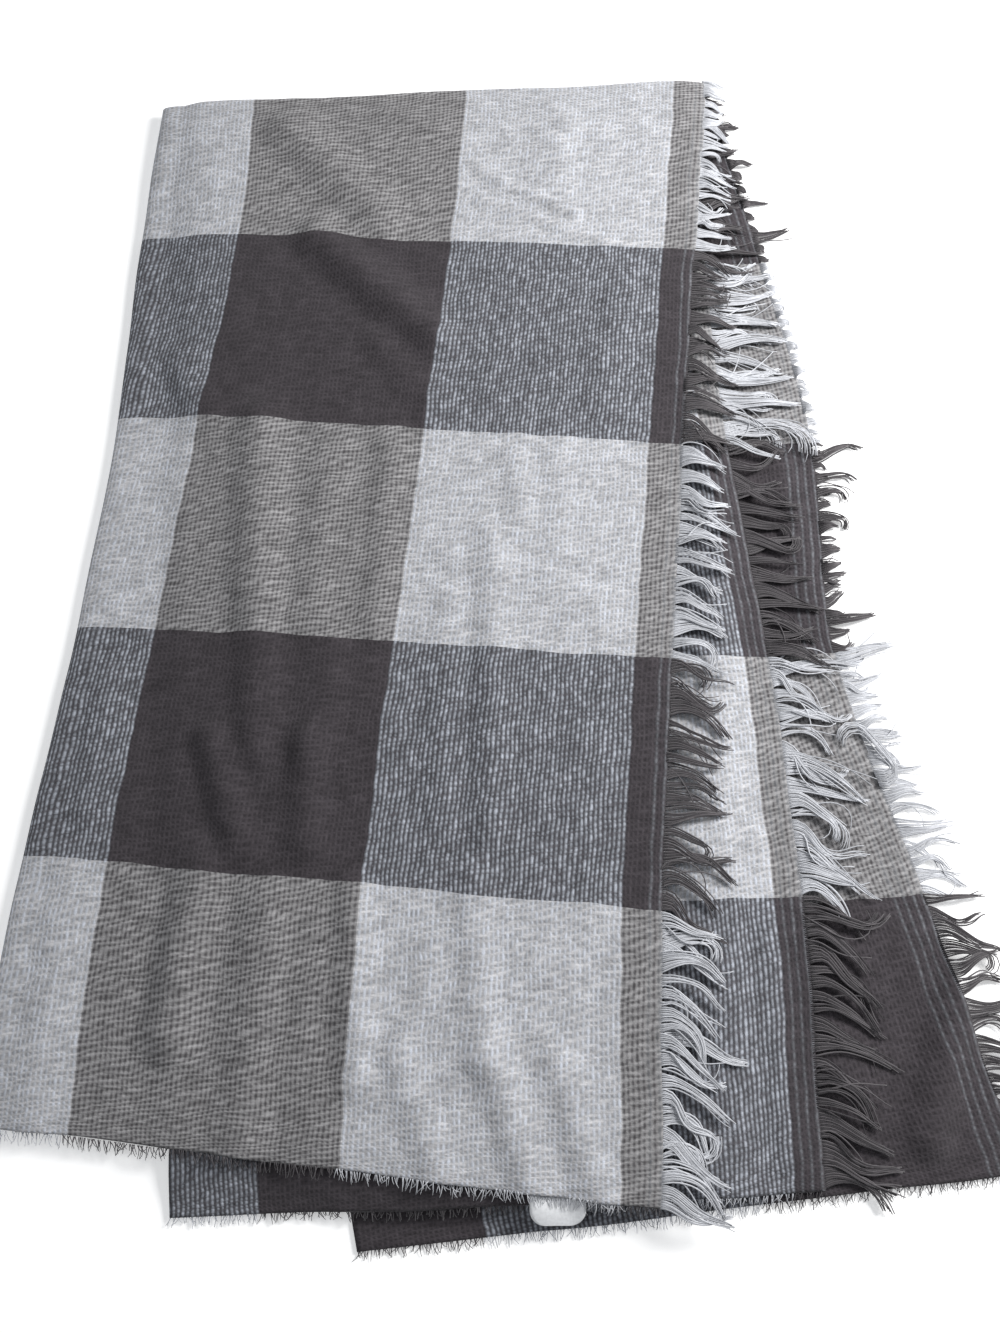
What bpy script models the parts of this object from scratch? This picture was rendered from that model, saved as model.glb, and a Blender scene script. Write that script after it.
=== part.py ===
"""Blanket scarf, folded in half and then in quarters, lying flat.

Metres, +Z up. The origin is on the surface it lies on, under the middle of its outline. +Y points to
the fold along its top, and the fringed edges face +X.
"""

import math

import bmesh
import bpy
from mathutils import Vector

# Driving dimensions
CLOTH_THICKNESS = 0.0016
EDGE_GAP = 0.0009  # beside an edge that leans
PLY_GAP = 0.0008  # between plies, which lie loosely on each other
STACK_TOP = 0.0084  # top of the hidden layers where every ply lies
STACK_TOP_LEFT = 0.0048  # and at the left, where only half of them do
STACK_STEP_WIDTH = 0.070
STACK_INSET_LEFT = 0.0075
STACK_INSET_TOP = 0.0045
STACK_INSET_BOTTOM = 0.012
STACK_RIGHT_TOP_X = 0.100
STACK_RIGHT_BOTTOM_X = 0.085
THIRD_LAP_WIDTH = 0.012  # over which the second panel climbs onto the third panel's fold
THIRD_LAP_BEFORE = 0.0144  # how far left of that fold it starts to
RIGHT_SPACING = 1.35  # how much closer a grid's columns are at the right than at the left
DRAPE_START = 0.005
DRAPE_WIDTH = 0.045  # how far the upper plies take to sink to the level of the lowest
FOLD_RADIUS_LEFT = 0.008
FOLD_RADIUS_TOP = 0.005
FOLD_DROP_TOP = 0.0024
FOLD_LOWEST = 0.0006
PLY_BULGE = 0.0009
PLY_FOLDS = 3
LOWEST_GAP = 0.0015  # from the lowest plies to the third panel's fold
LOWEST_ROUND = 0.0008  # rounds the lower edge of the lowest plies
LOWEST_JOIN = 0.0028  # how high they run up into the plies above
FRINGE_THICKNESS = 0.0012
EYELASH_LENGTH = 0.006
EYELASH_THICKNESS = 0.0008
LABEL_WIDTH = 0.028
LABEL_DROP = 0.0125
LABEL_THICKNESS = 0.0005
LABEL_CORNER = 0.008
LABEL_LOWER = 0.0001
LABEL_X = 0.0135
LABEL_ALONG_EDGE = 0.85  # where that is, from the left to the right of the front panel's edge
LABEL_GAP = 0.002

# One row for each line between checks, from the bottom edge to the top fold, with the two ends of
# that line: (left x, left y, right x, right y).
FRONT_ROWS = (
    (-0.287, -0.295, 0.065, -0.331),
    (-0.276, -0.159, 0.071, -0.189),
    (-0.261, -0.028, 0.082, -0.050),
    (-0.251, 0.107, 0.095, 0.085),
    (-0.249, 0.237, 0.109, 0.223),
    (-0.243, 0.340, 0.124, 0.360),
)
SECOND_ROWS = (
    (-0.180, -0.337, 0.149, -0.325),
    (-0.191, -0.193, 0.148, -0.181),
    (-0.202, -0.058, 0.140, -0.045),
    (-0.211, 0.075, 0.123, 0.089),
    (-0.218, 0.207, 0.116, 0.220),
    (-0.223, 0.332, 0.119, 0.351),
)
THIRD_ROWS = (
    (-0.086, -0.354, 0.250, -0.318),
    (-0.115, -0.210, 0.215, -0.179),
    (-0.145, -0.070, 0.179, -0.042),
    (-0.165, 0.068, 0.177, 0.093),
    (-0.190, 0.200, 0.155, 0.222),
    (-0.225, 0.327, 0.127, 0.350),
)

# How far the fringe reaches from the panel's edge at each of those lines: (x, y).
FRONT_REACH = (
    (0.030, -0.020),
    (0.034, -0.020),
    (0.034, -0.014),
    (0.032, -0.010),
    (0.031, -0.008),
    (0.022, -0.008),
)
SECOND_REACH = (
    (0.036, -0.010),
    (0.037, -0.026),
    (0.035, -0.018),
    (0.034, -0.010),
    (0.033, -0.006),
    (0.021, -0.006),
)
THIRD_REACH = (
    (0.034, -0.004),
    (0.034, -0.008),
    (0.034, -0.006),
    (0.030, -0.004),
    (0.030, -0.004),
    (0.020, -0.005),
)

# The largest soft ridges: (start x, start y, end x, end y, half width, height).
FRONT_RIDGES = (
    (-0.020, -0.320, -0.045, 0.060, 0.030, 0.0016),
    (-0.135, -0.290, -0.110, 0.020, 0.034, 0.0018),
    (-0.215, -0.280, -0.200, -0.090, 0.024, 0.0012),
    (0.040, -0.330, 0.035, -0.120, 0.022, 0.0012),
    (-0.030, 0.330, 0.075, 0.235, 0.016, 0.0016),
    (-0.120, 0.300, -0.060, 0.150, 0.030, 0.0013),
    (-0.200, 0.080, -0.120, 0.140, 0.026, 0.0012),
)
SECOND_RIDGES = (
    (0.132, -0.310, 0.126, -0.150, 0.012, 0.0010),
    (0.118, -0.060, 0.100, 0.120, 0.014, 0.0009),
)
THIRD_RIDGES = (
    (0.206, -0.290, 0.180, -0.120, 0.020, 0.0015),
    (0.160, -0.300, 0.150, -0.200, 0.018, 0.0010),
)

OFF_WHITE = (0.55, 0.55, 0.53, 1.0)
GREIGE = (0.20, 0.18, 0.165, 1.0)
CHARCOAL = (0.065, 0.056, 0.052, 1.0)
SATIN_WHITE = (0.80, 0.80, 0.80, 1.0)


def smoothstep(value):
    """0 below 0, 1 above 1, and a soft S between."""
    value = min(max(value, 0.0), 1.0)
    return value * value * (3.0 - 2.0 * value)


def sloped(value):
    """0 below 0, 1 above 1, and the gentlest bend between."""
    value = min(max(value, 0.0), 1.0)
    return 2.0 * value * value if value < 0.5 else 1.0 - 2.0 * (1.0 - value) ** 2


def along_rows(rows, t):
    """The row at t, from 0 at the bottom to 1 at the top, on a smooth curve through the table."""
    place = min(max(t, 0.0), 1.0) * (len(rows) - 1)
    low = min(int(place), len(rows) - 2)
    f = place - low
    before = rows[max(low - 1, 0)]
    after = rows[min(low + 2, len(rows) - 1)]
    values = []
    for a, b, c, d in zip(before, rows[low], rows[low + 1], after):
        curve = (c - a) * f + (2 * a - 5 * b + 4 * c - d) * f * f + (3 * b - a - 3 * c + d) * f**3
        values.append(b + curve / 2)
    return values


def spot(rows, s, t):
    """The place in plan at s across from the left fold and t up from the bottom edge."""
    left_x, left_y, right_x, right_y = along_rows(rows, t)
    return left_x + (right_x - left_x) * s, left_y + (right_y - left_y) * s


def left_fold_x(rows, y):
    """Where a panel's left fold is at this y, on straight lines between its rows."""
    for lower, upper in zip(rows, rows[1:]):
        if y <= upper[1] or upper is rows[-1]:
            f = (y - lower[1]) / (upper[1] - lower[1])
            return lower[0] + (upper[0] - lower[0]) * min(max(f, 0.0), 1.0)
    return rows[-1][0]


def ridges(table, x, y):
    """How far soft ridges lift the cloth here: each fades out across its width and at its ends."""
    lift = 0.0
    for x0, y0, x1, y1, half_width, height in table:
        run_x, run_y = x1 - x0, y1 - y0
        length = math.hypot(run_x, run_y)
        along = ((x - x0) * run_x + (y - y0) * run_y) / length
        across = abs((x - x0) * run_y - (y - y0) * run_x) / length
        ends = smoothstep((along + half_width) / half_width)
        ends *= smoothstep((length + half_width - along) / half_width)
        lift += height * ends * (1.0 - smoothstep(across / half_width))
    return lift


def stack_height(x, y):
    """The top of the hidden layers: half as high left of the third panel's fold."""
    step = (x - left_fold_x(THIRD_ROWS, y)) / STACK_STEP_WIDTH + 1.0
    return STACK_TOP_LEFT + (STACK_TOP - STACK_TOP_LEFT) * sloped(step)


def stack_bottom_y(x):
    bottom_left, bottom_right = FRONT_ROWS[0][:2], FRONT_ROWS[0][2:]
    f = (x - bottom_left[0]) / (bottom_right[0] - bottom_left[0])
    return bottom_left[1] + (bottom_right[1] - bottom_left[1]) * f + STACK_INSET_BOTTOM


def stack_right_x(y):
    f = (y - FRONT_ROWS[0][3]) / (FRONT_ROWS[-1][3] - FRONT_ROWS[0][3])
    return STACK_RIGHT_BOTTOM_X + (STACK_RIGHT_TOP_X - STACK_RIGHT_BOTTOM_X) * f


def third_level(x, y):
    return ridges(THIRD_RIDGES, x, y)


def floor_level(x, y):
    """What lies under the second panel off the stack: the third panel, or nothing left of its fold."""
    from_fold = x - left_fold_x(THIRD_ROWS, y)
    on_third = smoothstep((from_fold + THIRD_LAP_BEFORE) / THIRD_LAP_WIDTH)
    return (CLOTH_THICKNESS + third_level(x, y)) * on_third


def second_level(x, y):
    """The second panel's underside: it lies on the stack and sinks past its right and bottom edges."""
    past_right = max(x - stack_right_x(y) - DRAPE_START, 0.0)
    past_bottom = max(stack_bottom_y(x) - y - DRAPE_START, 0.0)
    sink = sloped(math.hypot(past_right, past_bottom) / DRAPE_WIDTH)
    top, low = stack_height(x, y), floor_level(x, y)
    return top + (low - top) * sink + PLY_GAP + ridges(SECOND_RIDGES, x, y)


def front_level(x, y):
    """The front panel's underside, one wall and a gap above the second panel's."""
    return second_level(x, y) + CLOTH_THICKNESS + PLY_GAP + ridges(FRONT_RIDGES, x, y)


def material(name, colour, roughness):
    made = bpy.data.materials.new(name)
    made.use_nodes = True
    shader = made.node_tree.nodes["Principled BSDF"]
    shader.inputs["Base Color"].default_value = colour
    shader.inputs["Roughness"].default_value = roughness
    shader.inputs["Metallic"].default_value = 0.0
    made.diffuse_color = colour
    return made


def add_object(name, bm, colour, roughness=0.9):
    mesh = bpy.data.meshes.new(name)
    bm.to_mesh(mesh)
    bm.free()
    mesh.materials.append(material(name, colour, roughness))
    mesh.shade_smooth()
    made = bpy.data.objects.new(name, mesh)
    scarf.objects.link(made)
    return made


def add_wall(name, across, along, place, thickness, colour, roughness=0.9):
    """A wall of cloth: a grid laid out by place(i, j), which gives its underside, then Solidify."""
    bm = bmesh.new()
    bmesh.ops.create_grid(bm, x_segments=across, y_segments=along, size=0.5)
    for vert in bm.verts:
        i = round((vert.co.x + 0.5) * across)
        j = round((vert.co.y + 0.5) * along)
        vert.co = place(i, j)
    made = add_object(name, bm, colour, roughness)
    wall = made.modifiers.new("Wall", "SOLIDIFY")
    wall.thickness = thickness
    wall.offset = 1.0
    return made


def finer_at_right(f):
    """Spaces a grid's columns closer towards the right, where the plies sink off the stack."""
    return 1.0 - (1.0 - f) ** RIGHT_SPACING


def front_panel():
    """The top ply, curled down at its left fold and a little way at its top fold."""
    across, along, curl = 24, 26, 4

    def place(i, j):
        left_turn = math.radians(90.0) * min(i / curl, 1.0)
        top_turn = math.radians(90.0) * min((along - j) / curl, 1.0)
        s = finer_at_right(max(i - curl, 0) / (across - curl))
        t = min(j / (along - curl), 1.0)
        x, y = spot(FRONT_ROWS, s, t)
        flat = front_level(x, y)
        inset_left = CLOTH_THICKNESS + FOLD_RADIUS_LEFT * (1.0 - math.cos(left_turn))
        inset_top = CLOTH_THICKNESS + FOLD_RADIUS_TOP * (1.0 - math.cos(top_turn))
        x += inset_left * (1.0 - s)
        y -= inset_top * t
        drop = (flat - FOLD_LOWEST) * (1.0 - math.sin(left_turn))
        drop += FOLD_DROP_TOP * (1.0 - math.sin(top_turn)) * math.sin(left_turn)
        return Vector((x, y, flat - drop))

    return add_wall("front_panel", across, along, place, CLOTH_THICKNESS, GREIGE)


def flat_panel(name, rows, level, across, along, colour):
    """A ply that lies below another, from its left fold to its fringed edge."""

    def place(i, j):
        x, y = spot(rows, finer_at_right(i / across), j / along)
        return Vector((x, y, level(x, y)))

    return add_wall(name, across, along, place, CLOTH_THICKNESS, colour)


def fringe(name, rows, reach_rows, level, colour):
    """The plain reach of a fringe: a strip out from the panel's right edge."""
    across, along = 4, 22

    def place(i, j):
        t = j / along
        edge_x, edge_y = spot(rows, 1.0, t)
        reach_x, reach_y = along_rows(reach_rows, t)
        f = i / across
        x = edge_x + EDGE_GAP + reach_x * f
        y = edge_y + reach_y * f * f
        lift = (CLOTH_THICKNESS - FRINGE_THICKNESS) / 2
        return Vector((x, y, level(x, y) + lift))

    return add_wall(name, across, along, place, FRINGE_THICKNESS, colour)


def eyelash(name, rows, level, colour):
    """The plain reach of a frayed bottom edge: a thin strip down from it, at the wall's upper face."""
    across, along = 26, 1

    def place(i, j):
        x, y = spot(rows, i / across, 0.0)
        y -= EDGE_GAP + EYELASH_LENGTH * (along - j) / along
        return Vector((x, y, level(x, y) + CLOTH_THICKNESS - EYELASH_THICKNESS))

    return add_wall(name, across, along, place, EYELASH_THICKNESS, colour)


def stack_spot(s, t):
    """The place in plan on the hidden layers, s across and t up, inside the front panel's folds."""
    front_left, front_y = spot(FRONT_ROWS, 0.0, t)
    left_x = front_left + STACK_INSET_LEFT
    left_y = front_y + STACK_INSET_BOTTOM * (1.0 - t) - STACK_INSET_TOP * t
    low_y = stack_bottom_y(STACK_RIGHT_BOTTOM_X)
    right_y = low_y + (FRONT_ROWS[-1][3] - STACK_INSET_TOP - low_y) * t
    right_x = stack_right_x(right_y)
    return left_x + (right_x - left_x) * s, left_y + (right_y - left_y) * s


def move_in(points, inset):
    """Each point of an anticlockwise outline moved in, square to its two neighbours."""
    moved = []
    for index, (x, y) in enumerate(points):
        before = points[index - 1]
        after = points[(index + 1) % len(points)]
        run_x, run_y = after[0] - before[0], after[1] - before[1]
        length = math.hypot(run_x, run_y)
        moved.append((x - run_y / length * inset, y + run_x / length * inset))
    return moved


def add_sides(bm, top_ring, rings):
    """Faces down from a ring of verts through each ring of points, and a cap under the last."""
    upper = top_ring
    for ring in rings:
        lower = [bm.verts.new(point) for point in ring]
        for k in range(len(lower)):
            n = (k + 1) % len(lower)
            bm.faces.new((lower[k], lower[n], upper[n], upper[k]))
        upper = lower
    cap = bm.faces.new(list(reversed(upper)))
    bmesh.ops.triangulate(bm, faces=[cap])


def hidden_layers():
    """The hidden plies: rounded folds round the sides, under a top that falls away at the left."""
    across, along = 16, 16
    bm = bmesh.new()
    bmesh.ops.create_grid(bm, x_segments=across, y_segments=along, size=0.5)
    grid = {}
    for vert in bm.verts:
        i = round((vert.co.x + 0.5) * across)
        j = round((vert.co.y + 0.5) * along)
        x, y = stack_spot(i / across, j / along)
        vert.co = Vector((x, y, stack_height(x, y)))
        grid[i, j] = vert
    border = [(i, 0) for i in range(across)] + [(across, j) for j in range(along)]
    border += [(i, along) for i in range(across, 0, -1)] + [(0, j) for j in range(along, 0, -1)]
    top_ring = [grid[place] for place in border]
    outline = [(vert.co.x, vert.co.y) for vert in top_ring]
    base = CLOTH_THICKNESS + PLY_GAP
    levels = 2 * PLY_FOLDS
    rings = []
    for level in range(levels - 1, -1, -1):
        rise = level / levels
        moved = move_in(outline, -PLY_BULGE * (level % 2))
        rings.append([(x, y, base + (stack_height(x, y) - base) * rise) for x, y in moved])
    add_sides(bm, top_ring, rings)
    made = add_object("hidden_layers", bm, CHARCOAL)
    join = made.modifiers.new("Lowest plies", "BOOLEAN")
    join.operation = "UNION"
    join.object = lowest_plies()
    return made


def lowest_plies():
    """The plies left of the third panel's fold, which reach down to the surface."""
    count = 14
    outline = [stack_spot(0.0, 1.0 - step / count) for step in range(count + 1)]
    low_y, high_y = outline[-1][1], outline[0][1]
    for step in range(1, count + 1):
        y = low_y + (high_y - low_y) * step / count
        x = left_fold_x(THIRD_ROWS, y) - LOWEST_GAP
        outline.append((x, max(y, stack_bottom_y(x))))
    inset = 2.0 * LOWEST_ROUND
    heights = ((CLOTH_THICKNESS / 2, LOWEST_ROUND), (0.0, inset))
    bm = bmesh.new()
    top_ring = [bm.verts.new((x, y, LOWEST_JOIN)) for x, y in move_in(outline, inset)]
    cap = bm.faces.new(top_ring)
    bmesh.ops.triangulate(bm, faces=[cap])
    rings = [[(x, y, z) for x, y in move_in(outline, moved)] for z, moved in heights]
    add_sides(bm, top_ring, rings)
    mesh = bpy.data.meshes.new("lowest_plies")
    bm.to_mesh(mesh)
    bm.free()
    made = bpy.data.objects.new("lowest_plies", mesh)
    made.hide_render = True
    made.display_type = "WIRE"
    cutters.objects.link(made)
    return made


def care_label():
    """A blank satin label with a round lower end, just below the front panel's bottom edge."""
    across, along = 4, 6
    top_y = spot(FRONT_ROWS, LABEL_ALONG_EDGE, 0.0)[1] - LABEL_GAP

    def place(i, j):
        from_end = LABEL_DROP * (1.0 - math.cos(math.radians(90.0) * j / along))
        round_part = max(LABEL_CORNER - from_end, 0.0)
        half = LABEL_WIDTH / 2 - LABEL_CORNER + math.sqrt(LABEL_CORNER**2 - round_part**2)
        x = LABEL_X + half * (2.0 * i / across - 1.0)
        y = top_y - LABEL_DROP + from_end
        return Vector((x, y, front_level(x, y) - LABEL_LOWER))

    return add_wall("care_label", across, along, place, LABEL_THICKNESS, SATIN_WHITE, 0.35)


for old in list(bpy.data.objects):
    bpy.data.objects.remove(old)
scarf = bpy.data.collections.new("blanket_scarf")
cutters = bpy.data.collections.new("cutters")
bpy.context.scene.collection.children.link(scarf)
bpy.context.scene.collection.children.link(cutters)

flat_panel("third_panel", THIRD_ROWS, third_level, 14, 16, CHARCOAL)
fringe("third_fringe", THIRD_ROWS, THIRD_REACH, third_level, CHARCOAL)
eyelash("third_eyelash", THIRD_ROWS, third_level, CHARCOAL)
hidden_layers()
flat_panel("second_panel", SECOND_ROWS, second_level, 22, 22, GREIGE)
fringe("second_fringe", SECOND_ROWS, SECOND_REACH, second_level, OFF_WHITE)
eyelash("second_eyelash", SECOND_ROWS, second_level, CHARCOAL)
front_panel()
fringe("front_fringe", FRONT_ROWS, FRONT_REACH, front_level, OFF_WHITE)
eyelash("front_eyelash", FRONT_ROWS, front_level, OFF_WHITE)
care_label()
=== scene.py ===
import math
import random

import bmesh
import bpy
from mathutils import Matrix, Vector, noise


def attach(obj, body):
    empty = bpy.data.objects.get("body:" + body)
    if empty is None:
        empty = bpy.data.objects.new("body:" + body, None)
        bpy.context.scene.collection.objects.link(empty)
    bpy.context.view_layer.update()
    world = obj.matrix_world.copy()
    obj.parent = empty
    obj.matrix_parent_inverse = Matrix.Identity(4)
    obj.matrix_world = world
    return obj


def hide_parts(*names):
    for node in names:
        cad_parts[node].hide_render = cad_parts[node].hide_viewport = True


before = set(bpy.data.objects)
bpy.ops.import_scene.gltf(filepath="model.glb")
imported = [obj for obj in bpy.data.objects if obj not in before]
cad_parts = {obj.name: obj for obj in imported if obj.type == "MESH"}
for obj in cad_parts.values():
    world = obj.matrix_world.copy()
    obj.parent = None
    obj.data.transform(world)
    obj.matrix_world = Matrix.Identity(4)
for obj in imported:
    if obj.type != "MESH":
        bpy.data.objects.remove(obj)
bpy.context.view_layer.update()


# ---------------------------------------------------------------------------------------------
# The view. The folded scarf is looked down on from its bottom edge, a little short of straight
# above, on a plain pale floor. A soft window light comes from the upper right, and a weak wide one
# from the left.
# ---------------------------------------------------------------------------------------------
VIEW_CENTRE = Vector((-0.015, -0.050, 0.0))
VIEW_DISTANCE = 0.600
VIEW_ELEVATION = math.radians(74.0)


def add_area_light(name, place, aim, width, watts, colour):
    """A square soft light at place, turned to face aim."""
    lamp = bpy.data.lights.new(name, "AREA")
    lamp.shape = "SQUARE"
    lamp.size = width
    lamp.energy = watts
    lamp.color = colour
    holder = bpy.data.objects.new(name, lamp)
    holder.location = place
    holder.rotation_euler = (Vector(aim) - Vector(place)).to_track_quat("-Z", "Y").to_euler()
    bpy.context.scene.collection.objects.link(holder)
    return holder


camera = bpy.data.objects.new("camera", bpy.data.cameras.new("camera"))
camera.data.lens = 28.0
camera.data.sensor_width = 36.0
camera.data.clip_start = 0.01
view_back = Vector((0.0, -math.cos(VIEW_ELEVATION), math.sin(VIEW_ELEVATION)))
camera.location = VIEW_CENTRE + view_back * VIEW_DISTANCE
camera.rotation_euler = (math.radians(90.0) - VIEW_ELEVATION, 0.0, 0.0)
bpy.context.scene.collection.objects.link(camera)
bpy.context.scene.camera = camera
bpy.context.scene.view_settings.view_transform = "Standard"

add_area_light("window", (0.85, 0.34, 0.64), (0.00, 0.00, 0.0), 0.38, 18.8, (1.0, 0.995, 0.985))
add_area_light("ceiling", (-1.2, 0.3, 1.8), (0.0, 0.0, 0.0), 2.0, 12.0, (0.96, 0.98, 1.0))
world = bpy.data.worlds.new("room")
world.use_nodes = True
world.node_tree.nodes["Background"].inputs["Color"].default_value = (0.93, 0.96, 1.0, 1.0)
world.node_tree.nodes["Background"].inputs["Strength"].default_value = 0.24
bpy.context.scene.world = world

floor_shape = bmesh.new()
bmesh.ops.create_grid(floor_shape, x_segments=1, y_segments=1, size=6.0)
floor_mesh = bpy.data.meshes.new("floor")
floor_shape.to_mesh(floor_mesh)
floor_shape.free()
floor = bpy.data.objects.new("floor", floor_mesh)
floor_paint = bpy.data.materials.new("floor")
floor_paint.use_nodes = True
floor_paint.node_tree.nodes["Principled BSDF"].inputs["Base Color"].default_value = (0.9, 0.9, 0.9, 1.0)
floor_paint.node_tree.nodes["Principled BSDF"].inputs["Roughness"].default_value = 0.9
floor_paint.node_tree.nodes["Principled BSDF"].inputs["Emission Color"].default_value = (1.0, 1.0, 1.0, 1.0)
floor_paint.node_tree.nodes["Principled BSDF"].inputs["Emission Strength"].default_value = 0.35
floor_mesh.materials.append(floor_paint)
bpy.context.scene.collection.objects.link(floor)


# ---------------------------------------------------------------------------------------------
# The front panel: the top ply of the folded square, woven in large checks from soft brushed yarn.
# It turns down round the stack at its left fold, and over the second ply at the top fold. Its right
# edge runs out into the long fringe and its bottom edge is left raw.
# ---------------------------------------------------------------------------------------------
CLOTH_THICKNESS = 0.0015
PLY_GAP = 0.0009
STACK_TOP = 0.0084
STACK_TOP_LEFT = 0.0048
STACK_STEP_WIDTH = 0.070
STACK_INSET_LEFT = 0.0125
STACK_INSET_TOP = 0.0050
STACK_INSET_BOTTOM = 0.012
STACK_RIGHT_TOP_X = 0.100
STACK_RIGHT_BOTTOM_X = 0.085
DRAPE_START = 0.005
DRAPE_WIDTH = 0.045
FOLD_RADIUS_LEFT = 0.0140
FOLD_RADIUS_TOP = 0.0035
FOLD_LOWEST = 0.0017
YARNS_PER_CHECK = 54
UNEVEN = 0.0016  # how far the cloth is pulled out of true in plan
noise.seed_set(7)  # without a seed, noise_vector would pull it another way on each run
FRONT_PUFF = 0.0006  # how far the front panel stands off the second one, away from its folds
TOP_FOLD_CHECKS = (4.74, 4.99)  # how far up the cloth the top fold is, at the left and the right
# How far the left fold is from the fringed edge, in checks, at each row of FRONT_ROWS.
LEFT_FOLD_CHECKS = ((2.53,), (2.49,), (2.49,), (2.53,), (2.64,), (2.60,))

# One row for each line between checks, from the bottom edge to the top fold, with the two ends of
# that line: (left x, left y, right x, right y).
FRONT_ROWS = (
    (-0.287, -0.295, 0.065, -0.331),
    (-0.276, -0.159, 0.071, -0.189),
    (-0.261, -0.028, 0.082, -0.050),
    (-0.251, 0.107, 0.095, 0.085),
    (-0.249, 0.237, 0.109, 0.223),
    (-0.243, 0.340, 0.124, 0.360),
)
SECOND_ROWS = (
    (-0.180, -0.337, 0.149, -0.325),
    (-0.191, -0.193, 0.148, -0.181),
    (-0.202, -0.058, 0.140, -0.045),
    (-0.211, 0.075, 0.123, 0.089),
    (-0.218, 0.207, 0.116, 0.220),
    (-0.223, 0.332, 0.119, 0.351),
)
THIRD_ROWS = (
    (-0.086, -0.354, 0.250, -0.318),
    (-0.115, -0.210, 0.215, -0.179),
    (-0.145, -0.070, 0.179, -0.042),
    (-0.165, 0.068, 0.177, 0.093),
    (-0.190, 0.200, 0.155, 0.222),
    (-0.225, 0.327, 0.127, 0.350),
)

# Soft ridges, and troughs where the height is negative:
# (start x, start y, end x, end y, half width, height).
FRONT_CREASES = (
    (-0.166, 0.322, -0.100, 0.250, 0.026, 0.0046),
    (-0.100, 0.334, -0.046, 0.312, 0.011, 0.0012),
    (-0.142, 0.236, -0.062, 0.162, 0.023, 0.0062),
    (-0.100, 0.160, -0.066, 0.118, 0.018, 0.0022),
    (-0.034, 0.286, 0.030, 0.254, 0.0065, 0.0024),
    (-0.034, 0.266, 0.052, 0.232, 0.0065, 0.0014),
    (0.022, 0.330, 0.016, 0.285, 0.026, 0.0020),
    (-0.232, 0.150, -0.206, 0.108, 0.020, 0.0024),
    (-0.172, 0.105, -0.168, 0.000, 0.024, 0.0048),
    (-0.126, 0.085, -0.134, -0.025, 0.018, 0.0018),
    (-0.088, 0.090, -0.094, -0.030, 0.016, 0.0022),
    (-0.010, 0.090, -0.008, 0.035, 0.015, 0.0015),
    (0.018, 0.088, 0.018, 0.020, 0.018, 0.0011),
    (-0.050, 0.018, 0.040, -0.012, 0.016, 0.0011),
    (-0.024, 0.028, -0.025, -0.145, 0.017, 0.0028),
    (-0.050, -0.010, -0.052, -0.140, 0.016, 0.0014),
    (-0.034, -0.170, -0.030, -0.262, 0.016, 0.0024),
    (-0.166, -0.020, -0.162, -0.098, 0.020, 0.0036),
    (-0.122, -0.040, -0.126, -0.105, 0.018, 0.0022),
    (-0.188, -0.092, -0.166, -0.154, 0.017, 0.0046),
    (-0.132, -0.095, -0.128, -0.150, 0.017, 0.0036),
    (-0.186, -0.165, -0.200, -0.250, 0.021, 0.0050),
    (-0.150, -0.185, -0.158, -0.330, 0.022, 0.0030),
    (-0.100, -0.175, -0.096, -0.270, 0.016, 0.0034),
    (-0.072, -0.262, -0.046, -0.330, 0.016, 0.0026),
    (-0.022, -0.262, 0.000, -0.330, 0.017, 0.0032),
    (0.012, -0.262, 0.036, -0.335, 0.016, 0.0026),
    (0.060, 0.200, 0.045, 0.120, 0.022, 0.0016),
    (-0.250, -0.060, -0.256, -0.130, 0.018, 0.0020),
    (-0.262, -0.170, -0.270, -0.310, 0.018, 0.0018),
)
SECOND_CREASES = (
    (0.132, -0.310, 0.126, -0.150, 0.012, 0.0016),
    (0.118, -0.060, 0.100, 0.120, 0.014, 0.0014),
)
THIRD_CREASES = (
    (0.240, -0.195, 0.204, -0.300, 0.018, 0.0055),
    (0.166, -0.300, 0.156, -0.200, 0.018, 0.0020),
    (0.170, -0.020, 0.150, 0.110, 0.014, 0.0012),
)


def smoothstep(value):
    """0 below 0, 1 above 1, and a soft S between."""
    value = min(max(value, 0.0), 1.0)
    return value * value * (3.0 - 2.0 * value)


def sloped(value):
    """0 below 0, 1 above 1, and the gentlest bend between."""
    value = min(max(value, 0.0), 1.0)
    return 2.0 * value * value if value < 0.5 else 1.0 - 2.0 * (1.0 - value) ** 2


def along_rows(rows, t):
    """The row at t, from 0 at the bottom to 1 at the top, on a smooth curve through the table."""
    place = min(max(t, 0.0), 1.0) * (len(rows) - 1)
    low = min(int(place), len(rows) - 2)
    f = place - low
    before = rows[max(low - 1, 0)]
    after = rows[min(low + 2, len(rows) - 1)]
    values = []
    for a, b, c, d in zip(before, rows[low], rows[low + 1], after):
        curve = (c - a) * f + (2 * a - 5 * b + 4 * c - d) * f * f + (3 * b - a - 3 * c + d) * f**3
        values.append(b + curve / 2)
    return values


def spot(rows, s, t):
    """The place in plan at s across from the left fold and t up from the bottom edge."""
    left_x, left_y, right_x, right_y = along_rows(rows, t)
    x, y = left_x + (right_x - left_x) * s, left_y + (right_y - left_y) * s
    pull = noise.noise_vector(Vector((x, y, rows[0][0])) * 17.0) * UNEVEN
    return x + pull.x, y + pull.y


def left_fold_x(rows, y):
    """Where a panel's left fold is at this y, on straight lines between its rows."""
    for lower, upper in zip(rows, rows[1:]):
        if y <= upper[1] or upper is rows[-1]:
            f = (y - lower[1]) / (upper[1] - lower[1])
            return lower[0] + (upper[0] - lower[0]) * min(max(f, 0.0), 1.0)
    return rows[-1][0]


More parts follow.
